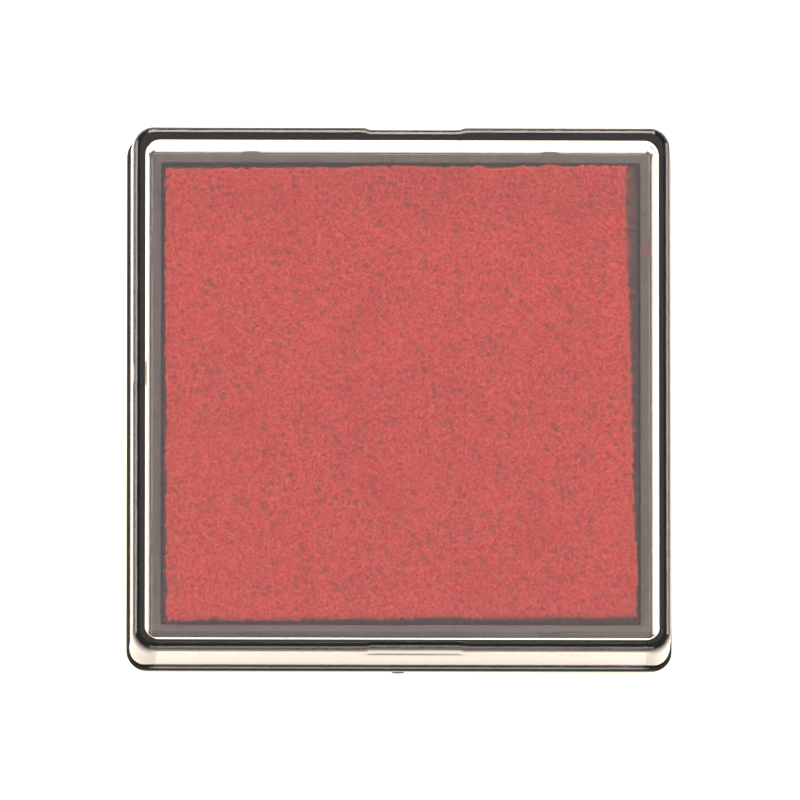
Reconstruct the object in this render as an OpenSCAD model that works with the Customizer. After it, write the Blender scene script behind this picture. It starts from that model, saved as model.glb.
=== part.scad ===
// Small square craft ink pad. A moulded base carries a thin-walled tray with an inked foam
// block bonded to its floor, and a clear cap lifts straight off the step round the tray.
// Millimetres, +Z up, origin at the centre of the footprint, on the surface it stands on.
// The front is -Y.

/* [Base] */
// Width of the base at its flange
base_w = 41.6; // [41.4:0.1:44]
// Depth of the base at its flange
base_d = 41; // [40.6:0.1:43]
// Height of the flange that the lid rests on
flange_h = 5.6; // [5.4:0.1:7]
// Corner radius of the flange in plan
base_r = 1.55; // [1.2:0.05:3]
// How far the skirt leans in on each side from the flange to its foot
skirt_lean = 0.46; // [0.05:0.01:0.6]
// Thickness of the skirt at its foot
skirt_t = 1.0; // [0.8:0.1:1.4]
// Thickness of the plate that is both flange and tray floor
floor_t = 1.2; // [0.8:0.1:1.2]

/* [Tray] */
// Width of the tray outside
tray_w = 37.9; // [37.6:0.1:38.2]
// Depth of the tray outside
tray_d = 36.8; // [36.6:0.1:37]
// Offset of the tray towards the back
tray_shift = 0.02; // [0:0.02:0.14]
// Height of the tray's rim above the table
rim_h = 12; // [10:0.1:12.4]
// Thickness of the tray's wall
tray_t = 0.75; // [0.6:0.05:0.8]
// Radius of the tray's upright outer edges
tray_r = 0.2; // [0.1:0.05:0.4]
// Width of a grip rib on the tray's wall
rib_w = 1.57; // [1:0.01:2]
// How far a grip rib stands proud of the tray's left and right walls
rib_proud = 0.46; // [0.1:0.02:0.5]
// How far a grip rib stands proud of the tray's front and back walls
rib_proud_end = 0.64; // [0.1:0.02:0.66]
// Distance of a grip rib from the middle of its wall
rib_offset = 11.35; // [6:0.05:14]

/* [Foam] */
// Height of the foam's top above the table
foam_top = 12.6; // [12.1:0.1:13]
// Thickness of the adhesive film under the foam
film_t = 0.15; // [0.1:0.05:0.3]
// Width of the adhesive film
film_w = 34.6; // [30:0.1:35]
// Depth of the adhesive film
film_d = 33.8; // [30:0.1:34]

/* [Lid] */
// Width of the lid at its top
lid_w = 40.78; // [40.6:0.02:40.9]
// Depth of the lid at its top
lid_d = 40; // [39.8:0.05:40.2]
// Height of the lid's top above the table
lid_top = 16.2; // [15.8:0.1:18]
// Corner radius of the lid in plan
lid_r = 1.6; // [1.4:0.05:2.5]
// Thickness of the lid's walls
lid_t = 0.8; // [0.7:0.05:0.9]
// Thickness of the lid's top plate
plate_t = 0.9; // [0.8:0.1:1.4]
// How far a lid wall leans out from top to bottom
lid_lean = 0.24; // [0.05:0.01:0.3]
// Size of the bevel round the lid's top
lid_bevel = 0.25; // [0.1:0.05:0.5]
// Width of a finger flat on the lid's front and back
flat_w = 6.9; // [4:0.1:12]
// Depth of a finger flat
flat_deep = 0.15; // [0.05:0.05:0.3]
// Height of a finger flat, down from the lid's top
flat_h = 3.3; // [2:0.1:8]
// Sideways offset of the finger flats
flat_x = 1; // [-3:0.1:3]

/* [Hidden] */
$fn = 48;
sink = 0.3; // how deep a raised detail starts inside the wall that carries it
over = 1; // how far a cutter runs past the surface it opens

skirt_top_h = flange_h - floor_t; // the hollow's ceiling

// Radius of a rib that is rib_w wide at the wall's face, and how far its axis lies inside that face
function rib_r(proud) = (pow(rib_w / 2, 2) + pow(proud, 2)) / (2 * proud);
function rib_in(proud) = rib_r(proud) - proud;

// The stub left by the runner in the middle of the base's front
base_gate_w = 1;
base_gate_h = 0.7;
base_gate_z = 0.5;
base_gate_proud = 0.18;

// The stub left by the runner on the lid's left wall
lid_gate_w = 2.1;
lid_gate_h = 0.9;
lid_gate_y = 1.2;
lid_gate_z = lid_top - 1.6;
lid_gate_proud = 0.1;

// The foam block's four corners, clockwise from the back left: it is cut a little askew
FOAM_CORNERS = [[-18, 17.25], [17.15, 17.55], [18, -17.1], [-17.85, -17.45]];

module rounded_plan(w, d, r) {
    square([w - 2 * r, d], center = true);
    square([w, d - 2 * r], center = true);
    for (x = [-1, 1], y = [-1, 1])
        translate([x * (w / 2 - r), y * (d / 2 - r)]) circle(r);
}

// A block with round upright edges, w by d at its bottom, that gains lean on each side
module leaning_block(w, d, h, r, lean) {
    rotate([90, 0, 0])
        linear_extrude(height = d - 2 * r, center = true)
            polygon([[-w / 2, 0], [w / 2, 0], [w / 2 + lean, h], [-w / 2 - lean, h]]);
    rotate([90, 0, 90])
        linear_extrude(height = w - 2 * r, center = true)
            polygon([[-d / 2, 0], [d / 2, 0], [d / 2 + lean, h], [-d / 2 - lean, h]]);
    for (x = [-1, 1], y = [-1, 1])
        translate([x * (w / 2 - r), y * (d / 2 - r), 0])
            cylinder(h = h, r1 = r, r2 = r + lean);
}

module skirt() {
    difference() {
        leaning_block(base_w - 2 * skirt_lean, base_d - 2 * skirt_lean, flange_h,
            base_r - skirt_lean, skirt_lean);
        translate([0, 0, -over])
            linear_extrude(height = skirt_top_h + over)
                rounded_plan(base_w - 2 * (skirt_lean + skirt_t),
                    base_d - 2 * (skirt_lean + skirt_t),
                    max(base_r - skirt_lean - skirt_t / 2, 0.3));
    }
}

module tray_wall() {
    translate([0, tray_shift, flange_h - sink])
        linear_extrude(height = rim_h - flange_h + sink)
            difference() {
                union() {
                    rounded_plan(tray_w, tray_d, tray_r);
                    for (s = [-1, 1], o = [-1, 1]) {
                        translate([o * rib_offset, s * (tray_d / 2 - rib_in(rib_proud_end))])
                            circle(rib_r(rib_proud_end));
                        translate([s * (tray_w / 2 - rib_in(rib_proud)), o * rib_offset])
                            circle(rib_r(rib_proud));
                    }
                }
                square([tray_w - 2 * tray_t, tray_d - 2 * tray_t], center = true);
            }
}

module base_tray() color([0.05, 0.05, 0.055]) {
    skirt();
    tray_wall();
    translate([-base_gate_w / 2, -base_d / 2 + skirt_lean - base_gate_proud, base_gate_z])
        cube([base_gate_w, base_gate_proud + sink, base_gate_h]);
}

module adhesive_film() color([0.85, 0.83, 0.75])
    translate([-film_w / 2, -film_d / 2, flange_h]) cube([film_w, film_d, film_t]);

module ink_foam() color([0.75, 0.08, 0.07])
    translate([0, 0, flange_h + film_t])
        linear_extrude(height = foam_top - flange_h - film_t) polygon(FOAM_CORNERS);

module lid_shell() {
    side_h = lid_top - flange_h - lid_bevel;
    cavity_h = lid_top - plate_t - flange_h;
    difference() {
        union() {
            leaning_block(lid_w + 2 * lid_lean, lid_d + 2 * lid_lean, side_h,
                lid_r + lid_lean, -lid_lean);
            translate([0, 0, side_h])
                leaning_block(lid_w, lid_d, lid_bevel, lid_r, -lid_bevel);
        }
        leaning_block(lid_w + 2 * (lid_lean - lid_t), lid_d + 2 * (lid_lean - lid_t), cavity_h,
            lid_r + lid_lean - lid_t / 2, -lid_lean);
    }
}

module clear_lid() color([0.86, 0.9, 0.92, 0.35]) {
    difference() {
        translate([0, 0, flange_h]) lid_shell();
        for (s = [-1, 1])
            translate([flat_x, s * (lid_d / 2 + over - flat_deep), lid_top - flat_h / 2 + over / 2])
                cube([flat_w, 2 * over, flat_h + over], center = true);
    }
    translate([-lid_w / 2 - lid_gate_proud, lid_gate_y - lid_gate_w / 2, lid_gate_z])
        cube([lid_gate_proud + sink, lid_gate_w, lid_gate_h]);
}

base_tray();
adhesive_film();
ink_foam();
clear_lid();
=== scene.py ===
"""A small square craft ink pad: a black moulded base, a red foam pad and a clear lift-off lid."""
import functools
import math

import bmesh
import bpy
import numpy as np
from mathutils import Matrix, Vector


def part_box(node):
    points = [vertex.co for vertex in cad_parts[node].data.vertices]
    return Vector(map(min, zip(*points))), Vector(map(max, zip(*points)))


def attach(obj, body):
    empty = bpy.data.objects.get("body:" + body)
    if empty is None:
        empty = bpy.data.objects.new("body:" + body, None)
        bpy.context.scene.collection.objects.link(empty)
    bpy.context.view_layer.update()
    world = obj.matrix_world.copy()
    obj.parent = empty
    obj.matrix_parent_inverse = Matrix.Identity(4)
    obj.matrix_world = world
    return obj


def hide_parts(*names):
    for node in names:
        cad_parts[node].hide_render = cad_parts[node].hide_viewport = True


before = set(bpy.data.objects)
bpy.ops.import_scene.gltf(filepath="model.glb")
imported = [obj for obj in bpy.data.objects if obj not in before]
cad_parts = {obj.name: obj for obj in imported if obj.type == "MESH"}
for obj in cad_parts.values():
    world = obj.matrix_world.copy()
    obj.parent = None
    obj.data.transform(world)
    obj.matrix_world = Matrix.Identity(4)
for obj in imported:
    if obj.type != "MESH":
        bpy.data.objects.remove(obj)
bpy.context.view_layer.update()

MM = 0.001
SIDE_STEP = 2 * MM  # between the points along a moulding's straight sides
scene = bpy.context.scene

# ---------------------------------------------------------------- sizes from the frame
_, base_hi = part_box("base_tray")
lid_lo, lid_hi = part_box("clear_lid")
foam_lo, foam_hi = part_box("ink_foam")

FLANGE_X = base_hi[0]
FLANGE_Y = base_hi[1]
FLANGE_Z = lid_lo[2]
RIM_Z = base_hi[2]
LID_Z = lid_hi[2]

# Base moulding: in names, T is a thickness and R the radius of a corner in plan
SKIRT_LEAN = 0.46 * MM
SKIRT_T = 1.0 * MM
SKIRT_EDGE = 0.12 * MM  # round of the skirt's foot, outside
CORE_EDGE = 0.2 * MM  # bevel round the hollow's ceiling
CORE_MOUTH = 0.1 * MM  # bevel round the hollow's mouth
FLOOR_T = 1.2 * MM
FLANGE_R = 1.55 * MM
FLANGE_EDGE = 0.12 * MM
TRAY_X = 18.95 * MM
TRAY_Y = 18.4 * MM
TRAY_SHIFT = 0.02 * MM
TRAY_T = 0.75 * MM
TRAY_R = 0.2 * MM
TRAY_INNER_R = 0.1 * MM
TRAY_ROOT = 0.15 * MM  # fillet where the tray's wall meets the flange
TRAY_FRONT_DRAFT = 0.16 * MM
LIP_OUTSIDE = 0.15 * MM  # rounds of the rim
LIP_INSIDE = 0.08 * MM
RIB_W = 1.57 * MM
RIB_PROUD = 0.46 * MM
RIB_PROUD_END = 0.64 * MM
RIB_AT = 11.35 * MM

# Lid moulding: the cavity is its hollow, and the fillets join the cavity's walls to its ceiling
LID_LEAN = 0.24 * MM
LID_X = lid_hi[0] - LID_LEAN
LID_Y = lid_hi[1] - LID_LEAN
LID_REACH = 18 * MM  # of a wall's straight part, each way from its middle
LID_R = 1.6 * MM
LID_T = 0.8 * MM
LID_EDGE = 0.65 * MM
LID_FOOT_R = 1.3 * MM
LID_FOOT_EDGE = 0.03 * MM
PLATE_T = 0.9 * MM
CAVITY_R = 1.1 * MM
CAVITY_FOOT_R = 1.15 * MM
CAVITY_LEFT = 0.1 * MM
CAVITY_FRONT = 0.1 * MM
CEILING_R = 0.1 * MM
FILLET_LEFT = 0.46 * MM
FILLET_RIGHT = 0.74 * MM
FILLET_FRONT = 0.24 * MM
FILLET_BACK = 1.25 * MM
FILLET_TURN = 1.6  # how soon a corner takes up the front's or back's fillet

# Finger flats: the ramp is at each side of a flat, the foot under it
FLAT_AT = 1.0 * MM
FLAT_W = 6.9 * MM
FLAT_H = {"front": 2.4 * MM, "back": 2.85 * MM}
FLAT_DEEP = {"front": 0.08 * MM, "back": 0.13 * MM}
FLAT_RAMP = 0.3 * MM
FLAT_FOOT = 0.45 * MM
FLAT_SUPPORT = 0.08 * MM  # gap between the rings that hold a crease

# Runner stubs, and ejector marks with a profile of radius and height in mm
BASE_GATE_W = 1.0 * MM
BASE_GATE_Z = (0.5 * MM, 1.2 * MM)
BASE_GATE_PROUD = 0.17 * MM
BASE_GATE_SINK = 0.1 * MM
LID_GATE_Y = (0.15 * MM, 2.25 * MM)
LID_GATE_DOWN = (0.7 * MM, 1.6 * MM)  # from the lid's top
LID_GATE_PROUD = 0.1 * MM
LID_GATE_SINK = 0.4 * MM
STUB_BLUNT = 0.6  # power that squares a ball off: 1 leaves it round
STUB_SHRINK = 0.95  # the most that a point is drawn in by
EJECTOR_AT = 12 * MM
EJECTOR_PROFILE = ((1.5, 0.05), (1.5, -0.05), (1.42, -0.08), (1.2, -0.08), (1.12, -0.05))

# Foam block: its corners clockwise from the back left, its grid, and the pores in its skin
FOAM_CORNERS = [
    (-18 * MM, 17.25 * MM),
    (17.15 * MM, 17.55 * MM),
    (18 * MM, -17.1 * MM),
    (-17.85 * MM, -17.45 * MM),
]
FOAM_GRID = 0.127 * MM
FOAM_EDGE = 0.28 * MM  # roll of the top into the sides
FOAM_DIP = 0.1 * MM  # how far the top lies below the block's highest point
FOAM_GAP = 0.04 * MM  # between the foot of the foam and the tray's wall
FOAM_SKIRT = ((0.0, 0.3), (0.1, 0.6), (0.7, 0.9), (1.0, 1.3))  # lean to the wall, fall in mm
FOAM_NOTCH = 0.08 * MM  # how far in the cut sides are bitten
RAG_REACH = 1.2 * MM  # how far in from an edge its raggedness goes
RAG_BROAD = (2.2 * MM, 0.06 * MM)  # wave and height
RAG_FINE = (0.26 * MM, 0.13 * MM)
RAG_IN = 0.05 * MM  # how far in an edge lies on average, and how far out at most
RAG_OUT = 0.1 * MM
SWELL = (5 * MM, 0.04 * MM)  # wave and height
PORE_SPACING = 0.85 * MM
PORE_CHANCE = 0.6
PORE_SIZE = 0.17 * MM
PORE_DEEP = 0.12 * MM
CELL_SPACING = 0.4 * MM
CELL_CHANCE = 0.8
CELL_SIZE = 0.1 * MM
CELL_DEEP = 0.05 * MM
SEED = 7

# Foam colours: ink-soaked skin, lit strands, painted shade in small pores, painted shade in large
# pores and along the rolled edge, and the cut sides
FOAM_DARK = (0.42, 0.006, 0.006)
FOAM_MID = (0.5, 0.008, 0.008)
FOAM_LIGHT = (0.64, 0.09, 0.08)
FOAM_CELL_SHADE = (0.2, 0.005, 0.006)
FOAM_PORE_SHADE = (0.22, 0.045, 0.036)
FOAM_SIDE = (0.2, 0.12, 0.115)

# Colours of the base: the plastic, dust with a painted sheen on its rim, ink with a painted
# reflection of the foam in the tray, an ink spot, a painted highlight line
BLACK_DARK = (0.012, 0.009, 0.008)
BLACK_LIGHT = (0.018, 0.014, 0.012)
RIM_DUST_AND_SHEEN = (0.13, 0.1, 0.096)
# Tray colour: pale ink with a painted reflection of the red foam
TRAY_INK_AND_REFLECTION = (0.4, 0.25, 0.24)
STAIN = (0.24, 0.026, 0.022)
STAIN_AT = (18.85 * MM, 11.25 * MM, 12.25 * MM)
LEDGE_PAINTED_HIGHLIGHT = (0.75, 0.75, 0.78)

# Where the base's material changes from one state to another
RIM_TOP = (RIM_Z - 0.25 * MM, RIM_Z - 0.15 * MM)
# The next two bounds make the rim's dust and painted sheen heavier at the front and thin on its
# front edge
DUST_AND_SHEEN_FRONT = (-17.3 * MM, -18.1 * MM)
DUST_AND_SHEEN_EDGE = (-18.1 * MM, -18.2 * MM)
# The four bounds below place the painted highlight line on the flange's front
LEDGE_TOP = (FLANGE_Z - 0.06 * MM, FLANGE_Z - 0.02 * MM)
LEDGE_OUT = (-FLANGE_Y + 0.18 * MM, -FLANGE_Y + 0.21 * MM)
LEDGE_IN = (-19 * MM, -19.5 * MM)
LEDGE_ENDS = (19.2 * MM, 18.3 * MM)
DULL_FRONT = (-18.1 * MM, -18.25 * MM)
DULL_UP = (FLANGE_Z + 0.3 * MM, FLANGE_Z + 0.8 * MM)
DULL_ALONG = (3 * MM, 8 * MM)

# Light: each softbox has a name, a centre and a size in metres, and a radiance
FLOOR_REACH = 1.5
FLOOR_GLOW = 1.06
FLOOR_TINT = (1.0, 0.87, 0.72)
WARM = (1.0, 0.93, 0.90)
ROOM = 0.35
SOFTBOXES = (
    ("overhead", (0, 0.62, 2.2), 1.5, 0.58),
    ("backlight", (0, 1.7, 1.1), 1.2, 9.0),
    ("front_light", (0, -1.2, 0.5), 0.7, 3.0),
    ("left_light", (-1.2, 0.2, 0.36), 0.7, 6.0),
    ("right_light", (1.2, 0.2, 0.36), 0.7, 6.0),
)

# View: the field is its width at the target, the sensor is in mm
VIEW_TARGET = (-0.145 * MM, -0.906 * MM, LID_Z)
VIEW_FIELD = 60.62 * MM
VIEW_DISTANCE = 1.5
VIEW_LEAN_FRONT = math.radians(6.5)
VIEW_LEAN_LEFT = math.radians(1.15)
SENSOR = 36


# ---------------------------------------------------------------- mesh helpers
def outline(half_x, half_y, radius, stops, push=None, steps=14):
    """A rectangle with round corners as a list of (x, y), anticlockwise from the front left.

    Each side has a point at each of the stops, push(side, stop) further out.
    """
    points = []
    sides = (
        ("front", (0, -1), half_x, half_y),
        ("right", (1, 0), half_y, half_x),
        ("back", (0, 1), half_x, half_y),
        ("left", (-1, 0), half_y, half_x),
    )
    for name, (nx, ny), half_along, half_out in sides:
        along_x, along_y = -ny, nx
        for u in stops:
            out = half_out + (push(name, u) if push else 0.0)
            points.append((along_x * u + nx * out, along_y * u + ny * out))
        cx = along_x * (half_along - radius) + nx * (half_out - radius)
        cy = along_y * (half_along - radius) + ny * (half_out - radius)
        for i in range(steps + 1):
            a = math.pi / 2 * i / steps
            out, along = radius * math.cos(a), radius * math.sin(a)
            points.append((cx + nx * out + along_x * along, cy + ny * out + along_y * along))
    return points


def link(name, data):
    """A new object in the scene."""
    obj = bpy.data.objects.new(name, data)
    scene.collection.objects.link(obj)
    return obj


def loft(name, rings):
    """A closed mesh through rings of (points, z), with a flat cap on the first and the last.

    Where z is None, each point carries its own height.
    """
    count = len(rings[0][0])
    verts = [(p[0], p[1], p[2] if z is None else z) for points, z in rings for p in points]
    faces = [tuple(reversed(range(count)))]
    for k in range(len(rings) - 1):
        a, b = k * count, (k + 1) * count
        for i in range(count):
            j = (i + 1) % count
            faces.append((a + i, a + j, b + j, b + i))
    faces.append(tuple(range((len(rings) - 1) * count, len(rings) * count)))
    mesh = bpy.data.meshes.new(name)
    mesh.from_pydata(verts, [], faces)
    shell = bmesh.new()
    shell.from_mesh(mesh)
    bmesh.ops.recalc_face_normals(shell, faces=shell.faces)
    shell.to_mesh(mesh)
    shell.free()
    return link(name, mesh)


def smooth(obj):
    """Smooth shading, with flat faces kept flat and edges sharper than 40 degrees kept sharp."""
    obj.data.shade_smooth()
    obj.data.set_sharp_from_angle(angle=math.radians(40))
    keep_flat = obj.modifiers.new("flat_faces", "WEIGHTED_NORMAL")
    keep_flat.keep_sharp = True
    keep_flat.weight = 100


def stops_along(*spans, reach):
    """Coordinates along a side: a coarse grid out to reach, finer inside each span."""
    marks = set(np.round(np.arange(-reach, reach + SIDE_STEP / 2, SIDE_STEP) / MM, 4))
    for low, high, fine in spans:
        marks |= set(np.round(np.arange(low, high + fine / 2, fine) / MM, 4))
    return [m * MM for m in sorted(marks)]


def quarter(steps):
    """cos and sin pairs of a quarter circle, for a fillet's rings."""
    angles = [math.pi / 2 * i / steps for i in range(steps + 1)]
    return [(math.cos(a), math.sin(a)) for a in angles]


def clamp(value):
    """The value, held between 0 and 1."""
    return min(max(value, 0.0), 1.0)


def paint(mesh, name, values):
    """A number at each of the mesh's points, for its material to read."""
    layer = mesh.attributes.new(name, "FLOAT", "POINT")
    layer.data.foreach_set("value", np.array(values, dtype=np.float32))


# ---------------------------------------------------------------- materials
class Look:
    """A material, with short calls that add its nodes and give back their output sockets."""

    def __init__(self, name):
        self.material = bpy.data.materials.new(name)
        self.material.use_nodes = True
        self.tree = self.material.node_tree
        self.bsdf = self.tree.nodes["Principled BSDF"]
        self.place = self.add("ShaderNodeTexCoord").outputs["Object"]

    def add(self, kind, **settings):
        made = self.tree.nodes.new(kind)
        for key, value in settings.items():
            setattr(made, key, value)
        return made

    def feed(self, socket, value):
        """Link a socket to another node's output, or set it to a plain value."""
        if isinstance(value, bpy.types.NodeSocket):
            self.tree.links.new(value, socket)
        elif isinstance(value, tuple) and socket.type == "RGBA":
            socket.default_value = (*value, 1)
        else:
            socket.default_value = value

    def shade(self, **values):
        """Set or link the shader's inputs, named with _ for spaces."""
        for name, value in values.items():
            self.feed(self.bsdf.inputs[name.replace("_", " ")], value)

    def product(self, first, *others):
        """Masks and numbers, multiplied together."""
        for other in others:
            first = self.math("MULTIPLY", first, other)
        return first

    def math(self, operation, a, b=0.0):
        made = self.add("ShaderNodeMath", operation=operation)
        self.feed(made.inputs[0], a)
        self.feed(made.inputs[1], b)
        return made.outputs[0]

    def stretch(self, x, y, z, at):
        """A place, scaled along each axis."""
        made = self.add("ShaderNodeVectorMath", operation="MULTIPLY")
        self.feed(made.inputs[0], at)
        made.inputs[1].default_value = (x, y, z)
        return made.outputs[0]

    def turned(self, degrees):
        """The place, turned about Z."""
        made = self.add("ShaderNodeVectorRotate", rotation_type="Z_AXIS")
        self.feed(made.inputs["Vector"], self.place)
        made.inputs["Angle"].default_value = math.radians(degrees)
        return made.outputs[0]

    def noise(self, size, detail=2.0, roughness=0.5, at=None, output="Fac"):
        made = self.add("ShaderNodeTexNoise")
        self.feed(made.inputs["Vector"], at or self.place)
        made.inputs["Scale"].default_value = 1 / size
        made.inputs["Detail"].default_value = detail
        made.inputs["Roughness"].default_value = roughness
        return made.outputs[output]

    def cells(self, size, at, output="Distance"):
        made = self.add("ShaderNodeTexVoronoi")
        self.feed(made.inputs["Vector"], at)
        made.inputs["Scale"].default_value = 1 / size
        return made.outputs[output]

    def warped(self, size, amount):
        """The place, pushed about by noise: size is the swirl's size, amount how far."""
        swirl = self.add("ShaderNodeVectorMath", operation="MULTIPLY_ADD")
        self.feed(swirl.inputs[0], self.noise(size, 1.0, output="Color"))
        swirl.inputs[1].default_value = (amount,) * 3
        self.feed(swirl.inputs[2], self.place)
        return swirl.outputs[0]

    def remap(self, value, low, high, to_low=0.0, to_high=1.0):
        """A value moved from one range to another, and held inside it."""
        made = self.add("ShaderNodeMapRange")
        for socket, number in zip(made.inputs, (value, low, high, to_low, to_high)):
            self.feed(socket, number)
        return made.outputs[0]

    def mix(self, factor, a, b):
        """A colour between a and b."""
        made = self.add("ShaderNodeMix", data_type="RGBA")
        for socket, value in ((made.inputs[0], factor), (made.inputs[6], a), (made.inputs[7], b)):
            self.feed(socket, value)
        return made.outputs[2]

    def axis(self, name, source=None):
        """One part of a vector, the place's unless told."""
        made = self.add("ShaderNodeSeparateXYZ")
        self.feed(made.inputs[0], source or self.place)
        return made.outputs[name]

    def facing(self, name):
        """A component of the surface's own direction."""
        return self.axis(name, self.add("ShaderNodeNewGeometry").outputs["Normal"])

    def away(self, point, at):
        """Distance of a place from a fixed point."""
        made = self.add("ShaderNodeVectorMath", operation="DISTANCE")
        self.feed(made.inputs[0], at)
        made.inputs[1].default_value = point
        return made.outputs["Value"]

    def attribute(self, name):
        return self.add("ShaderNodeAttribute", attribute_name=name).outputs["Fac"]

    def bump(self, height, distance, strength):
        made = self.add("ShaderNodeBump")
        made.inputs["Distance"].default_value = distance
        made.inputs["Strength"].default_value = strength
        self.feed(made.inputs["Height"], height)
        self.tree.links.new(made.outputs[0], self.bsdf.inputs["Normal"])


def clear_plastic():
    """Clear polystyrene with hairline scratches, in patches, that run three ways."""
    look = Look("clear_polystyrene")
    look.shade(Base_Color=(0.985, 0.98, 0.96), IOR=1.59, Transmission_Weight=1.0)
    hairs = []
    for degrees, size in ((20, 9 * MM), (75, 7 * MM), (-40, 12 * MM)):
        along = look.stretch(1, 0.12, 1, look.turned(degrees))
        middle = look.math("SUBTRACT", look.noise(size, 0.0, at=along), 0.5)
        hairs.append(look.remap(look.math("ABSOLUTE", middle), 0.0, 0.0012, 1.0, 0.0))
    hair = look.math("MAXIMUM", look.math("MAXIMUM", hairs[0], hairs[1]), hairs[2])
    patchy = look.remap(look.noise(5 * MM, 2.0), 0.5, 0.6)
    look.shade(Roughness=look.product(hair, patchy, 0.12))
    return look.material


def whitened_plastic():
    """Polystyrene bruised white where the runner was broken off."""
    look = Look("whitened_polystyrene")
    tint = look.mix(look.noise(0.3 * MM, 3.0), (0.95, 0.88, 0.74), (0.98, 0.94, 0.84))
    look.shade(Base_Color=tint, Roughness=look.remap(look.noise(0.2 * MM), 0.3, 0.7, 0.35, 0.6))
    look.shade(IOR=1.59, Transmission_Weight=0.25)
    look.bump(look.noise(0.15 * MM, 3.0), 0.03 * MM, 0.7)
    return look.material


def rim_masks(look):
    """The rim's top, and the dust with a painted sheen on it: streaky, heavier at the front, thin
    on the front edge.
    """
    y, z = look.axis("Y"), look.axis("Z")
    rim = look.product(
        look.remap(z, *RIM_TOP),
        look.remap(look.facing("Z"), 0.5, 0.95, 0.35, 1.0),
    )
    streaks = look.noise(0.6 * MM, 4.0, 0.7, at=look.warped(2 * MM, 0.8 * MM))
    dust_and_sheen = look.product(
        rim,
        look.remap(streaks, 0.3, 0.7, 0.6, 1.0),
        look.remap(y, *DUST_AND_SHEEN_FRONT, 1.0, 1.35),
        look.remap(y, *DUST_AND_SHEEN_EDGE, 1.0, 0.3),
    )
    return rim, dust_and_sheen


def painted_highlight_line_mask(look):
    """A painted highlight: a thin line along the front of the flange, just outside the lid's foot.
    """
    y, z = look.axis("Y"), look.axis("Z")
    return look.product(
        look.remap(z, *LEDGE_TOP),
        look.remap(look.facing("Z"), 0.5, 0.9),
        look.remap(y, *LEDGE_OUT),
        look.remap(y, *LEDGE_IN),
        look.remap(look.math("ABSOLUTE", look.axis("X")), *LEDGE_ENDS),
    )


def tray_front_mask(look):
    """The tray's front wall, more on its left."""
    return look.product(
        look.remap(look.axis("Y"), *DULL_FRONT),
        look.remap(look.axis("Z"), *DULL_UP),
        look.remap(look.axis("X"), *DULL_ALONG, 0.85, 0.6),
    )


def black_plastic():
    """Glossy black polystyrene: hazy with dust and a painted sheen on the rim, inked in the tray
    with a painted reflection of the foam, dull on the tray's front, with a painted highlight line
    along the flange's front.
    """
    look = Look("black_plastic")
    rim, dust_and_sheen = rim_masks(look)
    plain = look.mix(look.noise(3 * MM, 3.0), BLACK_DARK, BLACK_LIGHT)
    # The rim's dust, lightened further as a painted sheen
    dusted_and_sheened = look.mix(dust_and_sheen, plain, RIM_DUST_AND_SHEEN)
    smears = look.remap(look.noise(1.5 * MM, 3.0), 0.3, 0.7, 0.6, 1.0)
    # The tray's inside: ink, lightened as a painted reflection of the red foam
    inky = look.mix(look.product(look.attribute("ink"), smears), dusted_and_sheened, TRAY_INK_AND_REFLECTION)
    off = look.away(STAIN_AT, look.warped(0.5 * MM, 0.5 * MM))
    spot = look.remap(off, 0.25 * MM, 0.55 * MM, 0.8, 0.0)
    stained = look.mix(look.product(spot, rim), inky, STAIN)
    # A painted highlight line along the flange's front goes over the base colour
    look.shade(Base_Color=look.mix(painted_highlight_line_mask(look), stained, LEDGE_PAINTED_HIGHLIGHT))
    polish = look.remap(look.noise(0.25 * MM, 3.0, 0.6), 0.3, 0.7, 0.13, 0.24)
    rough = look.math("ADD", polish, tray_front_mask(look))
    look.shade(Roughness=look.math("ADD", rough, look.product(dust_and_sheen, 0.2)), IOR=1.55)
    look.bump(look.noise(0.5 * MM, 3.0, 0.6), 0.004 * MM, 0.5)
    return look.material


def foam_red():
    """Ink-soaked foam: strands and flecks that catch the light, cells between them and open pores
    with painted shade, and painted shade along the rolled edge.
    """
    look = Look("inked_foam")
    # Pore marks: painted shade in the pores, along the rolled edge and down the sides
    pore = look.attribute("pore")
    loose = look.warped(0.5 * MM, 0.5 * MM)
    middle = look.math("SUBTRACT", look.noise(0.3 * MM, 1.0, 0.5, at=loose), 0.5)
    strand = look.remap(look.math("ABSOLUTE", middle), 0.01, 0.09, 1.0, 0.0)
    fleck = look.remap(look.noise(0.16 * MM, 2.0, 0.6, at=loose), 0.4, 0.66)
    cell = look.remap(look.cells(0.34 * MM, at=loose), 0.05, 0.45, 1.0, 0.0)
    drawn = look.axis("X", look.cells(0.34 * MM, at=loose, output="Color"))
    cell_shade = look.product(cell, look.remap(drawn, 0.1, 1.0))
    soaked = look.remap(look.noise(3 * MM, 3.0), 0.3, 0.7)
    wet = look.remap(look.noise(6 * MM, 2.0), 0.56, 0.7, 0.0, 0.3)
    colour = look.mix(soaked, FOAM_DARK, FOAM_MID)
    for factor, over in (
        (look.product(strand, 0.8), FOAM_LIGHT),
        (look.product(fleck, 0.5), FOAM_LIGHT),
        (wet, FOAM_DARK),
        # Painted shade in the cells and pores
        (look.product(cell_shade, 0.85), FOAM_CELL_SHADE),
        (look.product(pore, 0.7), FOAM_PORE_SHADE),
        (look.attribute("side"), FOAM_SIDE),
    ):
        colour = look.mix(factor, colour, over)
    look.shade(Base_Color=colour, Roughness=0.85, Specular_IOR_Level=0.05)
    height = look.math("SUBTRACT", look.math("ADD", strand, fleck), look.math("ADD", cell_shade, pore))
    look.bump(height, 0.04 * MM, 0.5)
    return look.material


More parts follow.
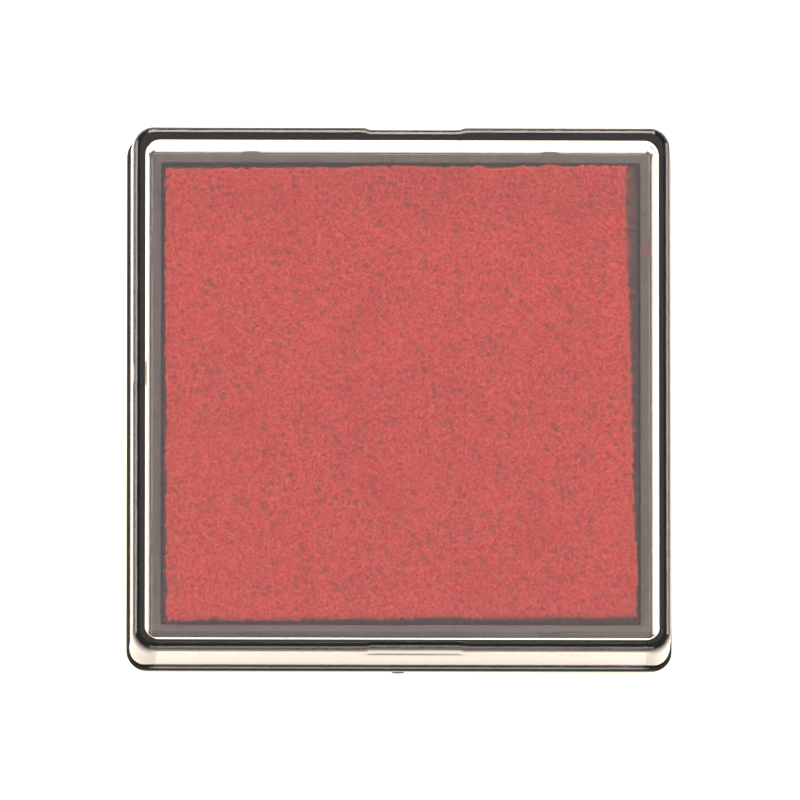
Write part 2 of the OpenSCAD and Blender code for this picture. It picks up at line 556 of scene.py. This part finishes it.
def milky_film():
    """The milky face of a double-sided film."""
    look = Look("adhesive")
    tint = look.mix(look.noise(2 * MM, 3.0), (0.8, 0.76, 0.64), (0.87, 0.85, 0.77))
    look.shade(Base_Color=tint, Roughness=look.remap(look.noise(0.8 * MM), 0.3, 0.7, 0.3, 0.5))
    look.bump(look.noise(0.6 * MM, 3.0), 0.02 * MM, 0.4)
    return look.material


# ---------------------------------------------------------------- base
def rib_push(side, u):
    """How far a grip rib stands out of the tray's wall, at u along that side."""
    proud = RIB_PROUD_END if side in ("front", "back") else RIB_PROUD
    radius = ((RIB_W / 2) ** 2 + proud ** 2) / (2 * proud)
    for at in (-RIB_AT, RIB_AT):
        if abs(u - at) < RIB_W / 2:
            return math.sqrt(radius ** 2 - (u - at) ** 2) - (radius - proud)
    return 0.0


def base_tray():
    """The base as one loft: the hollow, the skirt, the flange, the tray's outside and inside."""
    stops = stops_along(
        (-RIB_AT - RIB_W / 2, -RIB_AT + RIB_W / 2, RIB_W / 12),
        (RIB_AT - RIB_W / 2, RIB_AT + RIB_W / 2, RIB_W / 12),
        reach=RIB_AT + RIB_W,
    )
    rings = []

    def ring(half_x, half_y, radius, z, grow=0.0):
        rings.append((outline(half_x + grow, half_y + grow, radius + grow, stops), z))

    def tray_ring(half_x, half_y, radius, z, push=None, draft=0.0):
        points = outline(half_x, half_y, radius, stops, push)
        rings.append(([(x, y + TRAY_SHIFT + (draft if y < 0 else 0.0)) for x, y in points], z))

    foot = (FLANGE_X - SKIRT_LEAN, FLANGE_Y - SKIRT_LEAN, FLANGE_R - SKIRT_LEAN)
    core = (foot[0] - SKIRT_T, foot[1] - SKIRT_T, foot[2] - SKIRT_T / 2)
    ceiling = FLANGE_Z - FLOOR_T
    ring(*core, ceiling, -CORE_EDGE)
    ring(*core, ceiling - CORE_EDGE)
    ring(*core, CORE_MOUTH)
    ring(*core, 0, CORE_MOUTH)
    for c, s in quarter(5):
        ring(*foot, SKIRT_EDGE * (1 - c), -SKIRT_EDGE * (1 - s))
    for c, s in quarter(8):
        z = FLANGE_Z - FLANGE_EDGE * (1 - s)
        ring(FLANGE_X, FLANGE_Y, FLANGE_R, z, -FLANGE_EDGE * (1 - c))
    for c, s in quarter(4):
        out = TRAY_ROOT * (1 - s)
        z = FLANGE_Z + TRAY_ROOT * (1 - c)
        tray_ring(TRAY_X + out, TRAY_Y + out, TRAY_R + out, z, rib_push)
    for c, s in quarter(4):
        out = -LIP_OUTSIDE * (1 - c)
        z = RIM_Z - LIP_OUTSIDE * (1 - s)
        tray_ring(TRAY_X + out, TRAY_Y + out, TRAY_R + out, z, rib_push, TRAY_FRONT_DRAFT)
    in_x, in_y = TRAY_X - TRAY_T, TRAY_Y - TRAY_T
    for c, s in reversed(quarter(4)):
        out = LIP_INSIDE * (1 - c)
        tray_ring(in_x + out, in_y + out, TRAY_INNER_R, RIM_Z - LIP_INSIDE * (1 - s))
    clean = (len(rings) - 1) * len(rings[0][0])
    tray_ring(in_x, in_y, TRAY_INNER_R, FLANGE_Z)
    obj = loft("base_shell", rings)
    smooth(obj)
    # The tray's inside is marked for ink with a painted reflection of the foam
    paint(obj.data, "ink", [float(n >= clean) for n in range(len(obj.data.vertices))])
    obj.data.materials.append(black_plastic())
    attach(obj, "base")
    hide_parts("base_tray")


# ---------------------------------------------------------------- foam
def pits(x, y, spacing, chance, size, rng):
    """How deep each point lies in the pores, 0 to 1.

    A jittered grid has one pore at most in each square.
    """
    across = int(2 * FLANGE_X / spacing) + 4
    spots = rng.random((across, across, 3))
    column = np.floor(x / spacing).astype(int) + across // 2
    row = np.floor(y / spacing).astype(int) + across // 2
    depth = np.zeros_like(x)
    for i in (-1, 0, 1):
        for j in (-1, 0, 1):
            spot = spots[(column + i) % across, (row + j) % across]
            jitter_x, jitter_y, draw = np.moveaxis(spot, -1, 0)
            px = (column + i - across // 2 + jitter_x) * spacing
            py = (row + j - across // 2 + jitter_y) * spacing
            radius = size * (0.55 + 0.9 * draw / chance)
            away = np.hypot(x - px, y - py) / radius
            depth = np.maximum(depth, np.where(draw < chance, np.exp(-away ** 2), 0.0))
    return depth


def ripple(length, wave, height, rng):
    """A smooth random wave along a line of points."""
    marks = rng.uniform(-height, height, int(length / wave) + 2)
    return lambda along: np.interp(along, np.arange(len(marks)) * wave, marks)


def ragged(x, y, u, v, wide, deep, rng):
    """The points of the grid, pushed in and out along each of the block's four edges."""
    for gap, along, (sx, sy) in (
        (u * wide, v * deep, (1, 0)),
        ((1 - u) * wide, v * deep, (-1, 0)),
        (v * deep, u * wide, (0, 1)),
        ((1 - v) * deep, u * wide, (0, -1)),
    ):
        broad, fine = ripple(wide, *RAG_BROAD, rng), ripple(wide, *RAG_FINE, rng)
        push = np.clip(broad(along) + fine(along) + RAG_IN, -RAG_OUT, None)
        push = push * np.clip(1 - gap / RAG_REACH, 0, 1) ** 2
        x, y = x + push * sx, y + push * sy
    return x, y


def foam_ring(verts, border, spread, drop, bite):
    """A ring of points under the top's border, moved part of the way to the tray's wall.

    The border's items are a point's number and whether it is on an X side and on a Y side.
    With no drop, the ring lies on the foam's underside.
    """
    wall_x, wall_y = TRAY_X - TRAY_T - FOAM_GAP, TRAY_Y - TRAY_T - FOAM_GAP
    points = []
    for (i, on_x, on_y), b in zip(border, bite):
        x, y, z = verts[i]
        to_x = math.copysign(wall_x, x) if on_x else x
        to_y = math.copysign(wall_y, y) + TRAY_SHIFT if on_y else y
        reach = spread * (0.85 + 0.15 * b)
        inward = FOAM_NOTCH * b * (1 - spread)
        points.append((
            x + (to_x - x) * reach - math.copysign(inward * on_x, x),
            y + (to_y - y) * reach - math.copysign(inward * on_y, y),
            z - drop * (0.8 + 0.4 * b) if drop else foam_lo[2],
        ))
    return points


def foam_block():
    """The foam: a fine grid for its pitted top, and rings that lean from its edge to the tray."""
    rng = np.random.default_rng(SEED)
    (x0, y0), (x1, y1), (x2, y2), (x3, y3) = FOAM_CORNERS
    wide, deep = x2 - x3, y0 - y3
    nx, ny = round(wide / FOAM_GRID), round(deep / FOAM_GRID)
    u, v = np.meshgrid(np.linspace(0, 1, nx + 1), np.linspace(0, 1, ny + 1))
    x = (x3 * (1 - u) + x2 * u) * (1 - v) + (x0 * (1 - u) + x1 * u) * v
    y = (y3 * (1 - u) + y2 * u) * (1 - v) + (y0 * (1 - u) + y1 * u) * v
    x, y = ragged(x, y, u, v, wide, deep, rng)
    pore = pits(x, y, PORE_SPACING, PORE_CHANCE, PORE_SIZE, rng)
    cell = pits(x, y, CELL_SPACING, CELL_CHANCE, CELL_SIZE, rng)
    swell = ripple(wide, *SWELL, rng)(x - x3) + ripple(wide, *SWELL, rng)(y - y3)
    edge = np.minimum(np.minimum(u, 1 - u) * wide, np.minimum(v, 1 - v) * deep)
    roll = np.clip(FOAM_EDGE - edge, 0, FOAM_EDGE * 0.98)
    fall = FOAM_EDGE - np.sqrt(FOAM_EDGE ** 2 - roll ** 2)
    z = foam_hi[2] - FOAM_DIP + swell - fall - PORE_DEEP * pore - CELL_DEEP * cell
    verts = [tuple(p) for p in np.stack([x, y, np.minimum(z, foam_hi[2])], -1).reshape(-1, 3)]
    # Painted shade along the foam's rolled edge, carried in the pore marks
    edge_shade = 0.75 * np.exp(-edge / FOAM_EDGE)
    pore_and_edge_shade = list(np.maximum(np.maximum(pore, 0.5 * cell), edge_shade).reshape(-1))
    side_at = [0.0] * len(verts)

    index = np.arange(len(verts)).reshape(ny + 1, nx + 1)
    corners = (index[:-1, :-1], index[:-1, 1:], index[1:, 1:], index[1:, :-1])
    faces = [tuple(q) for q in np.stack(corners, -1).reshape(-1, 4).tolist()]
    loop = (*index[0, :-1], *index[:-1, -1], *index[-1, :0:-1], *index[:0:-1, 0])
    above = [int(i) for i in loop]
    border = [(i, i % (nx + 1) in (0, nx), i // (nx + 1) in (0, ny)) for i in above]
    count = len(border)
    for spread, drop in (*FOAM_SKIRT, (1.0, 0.0)):
        bite = rng.random(count)
        below = list(range(len(verts), len(verts) + count))
        verts += foam_ring(verts, border, spread, drop * MM, bite)
        # The sides carry painted shade in the pore marks too
        pore_and_edge_shade += list(0.5 + 0.4 * bite)
        side_at += [min(1.0, spread + 0.3)] * count
        for n in range(count):
            m = (n + 1) % count
            faces.append((below[n], below[m], above[m], above[n]))
        above = below
    faces.append(tuple(reversed(above)))
    mesh = bpy.data.meshes.new("foam_block")
    mesh.from_pydata(verts, [], faces)
    # The pore marks: painted shade in the pores, along the rolled edge and down the sides
    paint(mesh, "pore", pore_and_edge_shade)
    paint(mesh, "side", side_at)
    obj = link("foam_block", mesh)
    mesh.shade_smooth()
    mesh.materials.append(foam_red())
    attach(obj, "base")
    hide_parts("ink_foam")


# ---------------------------------------------------------------- lid
def flat_push(side, u, below=0.0):
    """The shallow finger flats in the lid's front and back, at a height below its top."""
    if side not in FLAT_H:
        return 0.0
    x = u if side == "front" else -u
    across = (FLAT_W / 2 + FLAT_RAMP - abs(x - FLAT_AT)) / FLAT_RAMP
    down = (FLAT_H[side] + FLAT_FOOT - below) / FLAT_FOOT
    return -FLAT_DEEP[side] * clamp(across) * clamp(down)


def wall_normal(x, y, half_x, half_y, radius):
    """The outward direction at a point of a round-cornered rectangle."""
    dx = max(abs(x) - (half_x - radius), 0.0)
    dy = max(abs(y) - (half_y - radius), 0.0)
    length = math.hypot(dx, dy)
    return math.copysign(dx / length, x), math.copysign(dy / length, y)


def fillet_end(x, y, core_x, core_y, nx, ny):
    """Where the fillet that starts at a point of the wall ends on the ceiling, and its height."""
    side = FILLET_RIGHT if x > 0 else FILLET_LEFT
    end = FILLET_BACK if y > 0 else FILLET_FRONT
    inner_x = core_x + CAVITY_R - side - CEILING_R
    inner_y = core_y + CAVITY_R - end - CEILING_R
    end_x = min(abs(x) / core_x, 1.0) * inner_x + CEILING_R * abs(nx)
    end_y = min(abs(y) / core_y, 1.0) * inner_y + CEILING_R * abs(ny)
    tall = side + (end - side) * min(FILLET_TURN * abs(ny), 1.0)
    return math.copysign(end_x, x), math.copysign(end_y, y), tall


def clear_lid():
    """The lid as one loft: from its top down the outside, round the foot and up the cavity."""
    ends = []
    for centre in (FLAT_AT, -FLAT_AT):
        low, high = centre - FLAT_W / 2, centre + FLAT_W / 2
        ends += [(low - FLAT_RAMP, low, FLAT_RAMP), (high, high + FLAT_RAMP, FLAT_RAMP)]
    stops = stops_along(*ends, reach=LID_REACH)
    trace = functools.partial(outline, stops=stops, steps=20)

    rings = []
    for c, s in reversed(quarter(8)):
        out = -LID_EDGE * (1 - c)
        z = LID_Z - LID_EDGE * (1 - s)
        rings.append((trace(LID_X + out, LID_Y + out, LID_R + out, push=flat_push), z))
    heights = {LID_EDGE + FLAT_SUPPORT}
    for high in FLAT_H.values():
        low = high + FLAT_FOOT
        heights |= {high - FLAT_SUPPORT, high, low - FLAT_SUPPORT, low, low + FLAT_SUPPORT}
    for below in sorted(heights):
        share = below / (LID_Z - FLANGE_Z)
        lean = LID_LEAN * share
        radius = LID_R + (LID_FOOT_R - LID_R) * share
        push = functools.partial(flat_push, below=below)
        rings.append((trace(LID_X + lean, LID_Y + lean, radius, push=push), LID_Z - below))
    foot_x, foot_y = LID_X + LID_LEAN, LID_Y + LID_LEAN
    for c, s in quarter(3):
        out = -LID_FOOT_EDGE * (1 - c)
        z = FLANGE_Z + LID_FOOT_EDGE * (1 - s)
        rings.append((trace(foot_x + out, foot_y + out, LID_FOOT_R + out), z))

    def hollow(x, y):
        return x + (CAVITY_LEFT if x < 0 else 0.0), y + (CAVITY_FRONT if y < 0 else 0.0)

    in_x, in_y = LID_X - LID_T, LID_Y - LID_T
    foot_line = trace(in_x + LID_LEAN, in_y + LID_LEAN, CAVITY_FOOT_R)
    rings.append(([hollow(x, y) for x, y in foot_line], FLANGE_Z))
    ceiling = LID_Z - PLATE_T
    wall = trace(in_x, in_y, CAVITY_R)
    for c, s in quarter(12):
        points = []
        for x, y in wall:
            nx, ny = wall_normal(x, y, in_x, in_y, CAVITY_R)
            end_x, end_y, tall = fillet_end(x, y, in_x - CAVITY_R, in_y - CAVITY_R, nx, ny)
            at_x, at_y = end_x + (x - end_x) * c, end_y + (y - end_y) * c
            points.append((*hollow(at_x, at_y), ceiling - tall * (1 - s)))
        rings.append((points, None))
    obj = loft("lid_shell", rings)
    smooth(obj)
    obj.data.materials.append(clear_plastic())
    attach(obj, "lid")
    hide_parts("clear_lid")


# ---------------------------------------------------------------- gates and ejector marks
def lump(name, low, high, seed, look_of, body, node):
    """A small rounded block with an uneven skin, between two corners."""
    rng = np.random.default_rng(seed)
    shell = bmesh.new()
    bmesh.ops.create_icosphere(shell, subdivisions=4, radius=1)
    low, high = Vector(low), Vector(high)
    middle, half = (low + high) / 2, (high - low) / 2
    for vert in shell.verts:
        for i in range(3):
            blunt = math.copysign(abs(vert.co[i]) ** STUB_BLUNT, vert.co[i])
            vert.co[i] = middle[i] + half[i] * blunt * rng.uniform(STUB_SHRINK, 1.0)
    mesh = bpy.data.meshes.new(name)
    shell.to_mesh(mesh)
    shell.free()
    obj = link(name, mesh)
    mesh.shade_smooth()
    mesh.materials.append(look_of())
    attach(obj, body)
    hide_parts(node)


def gates():
    """The stubs left where the runners were broken off the base and the lid."""
    front = -FLANGE_Y + SKIRT_LEAN
    lump(
        "base_gate",
        (-BASE_GATE_W / 2, front - BASE_GATE_PROUD, BASE_GATE_Z[0]),
        (BASE_GATE_W / 2, front + BASE_GATE_SINK, BASE_GATE_Z[1]),
        seed=1, look_of=black_plastic, body="base", node="base_tray",
    )
    lump(
        "lid_gate",
        (-LID_X - LID_GATE_PROUD, LID_GATE_Y[0], LID_Z - LID_GATE_DOWN[1]),
        (-LID_X + LID_GATE_SINK, LID_GATE_Y[1], LID_Z - LID_GATE_DOWN[0]),
        seed=2, look_of=whitened_plastic, body="lid", node="clear_lid",
    )


def ejector_marks():
    """Four shallow round pads on the hollow's ceiling, where the mould pushed the base out."""
    ceiling = FLANGE_Z - FLOOR_T
    for n, (sx, sy) in enumerate(((-1, -1), (1, -1), (1, 1), (-1, 1))):
        rings = []
        for radius, z in EJECTOR_PROFILE:
            r = radius * MM
            circle = [(x + sx * EJECTOR_AT, y + sy * EJECTOR_AT) for x, y in outline(r, r, r, [])]
            rings.append((circle, ceiling + z * MM))
        obj = loft("ejector_mark_%d" % (n + 1), rings)
        smooth(obj)
        obj.data.materials.append(black_plastic())
        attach(obj, "base")
        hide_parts("base_tray")


# ---------------------------------------------------------------- stage
def softbox(name, centre, size, radiance):
    """A square area light that faces the object."""
    light = bpy.data.lights.new(name, "AREA")
    light.shape = "SQUARE"
    light.size = size
    light.energy = radiance * math.pi * size ** 2
    light.color = WARM
    lamp = link(name, light)
    lamp.location = centre
    lamp.rotation_euler = (-Vector(centre)).to_track_quat("-Z", "Y").to_euler()


def stage():
    """A glowing floor that is clear from below, a warm room and five soft lights."""
    mesh = bpy.data.meshes.new("floor")
    square = ((-1, -1), (1, -1), (1, 1), (-1, 1))
    corners = [(x * FLOOR_REACH, y * FLOOR_REACH, 0) for x, y in square]
    mesh.from_pydata(corners, [], [(0, 1, 2, 3)])
    floor = link("floor", mesh)
    look = Look("pale_floor")
    look.shade(Base_Color=(0.93, 0.9, 0.86), Roughness=0.9, Specular_IOR_Level=0.0)
    look.shade(Emission_Color=FLOOR_TINT, Emission_Strength=FLOOR_GLOW)
    behind = look.add("ShaderNodeNewGeometry").outputs["Backfacing"]
    look.shade(Alpha=look.math("SUBTRACT", 1.0, behind))
    mesh.materials.append(look.material)
    world = bpy.data.worlds.new("studio")
    scene.world = world
    world.use_nodes = True
    back = world.node_tree.nodes["Background"]
    back.inputs["Color"].default_value = (*WARM, 1)
    back.inputs["Strength"].default_value = ROOM
    for box in SOFTBOXES:
        softbox(*box)


def camera():
    """A long lens above the object, leaning a little to the front and to the left."""
    toward = Vector((-math.sin(VIEW_LEAN_LEFT), -math.sin(VIEW_LEAN_FRONT), 0))
    toward.z = math.sqrt(1 - toward.length_squared)
    right = Vector((0, 1, 0)).cross(toward).normalized()
    turn = Matrix((right, toward.cross(right), toward)).transposed().to_4x4()
    data = bpy.data.cameras.new("camera")
    data.sensor_width = SENSOR
    data.lens = SENSOR * VIEW_DISTANCE / VIEW_FIELD
    cam = link("camera", data)
    cam.matrix_world = Matrix.Translation(Vector(VIEW_TARGET) + toward * VIEW_DISTANCE) @ turn
    scene.camera = cam


camera()
stage()
base_tray()
clear_lid()
foam_block()
gates()
ejector_marks()
film = bpy.data.objects["adhesive_film"].data.materials
film.clear()
film.append(milky_film())
scene.view_settings.view_transform = "Standard"
scene.cycles.blur_glossy = 0.0
scene.cycles.max_bounces = 24
scene.cycles.transmission_bounces = 24
scene.cycles.glossy_bounces = 12
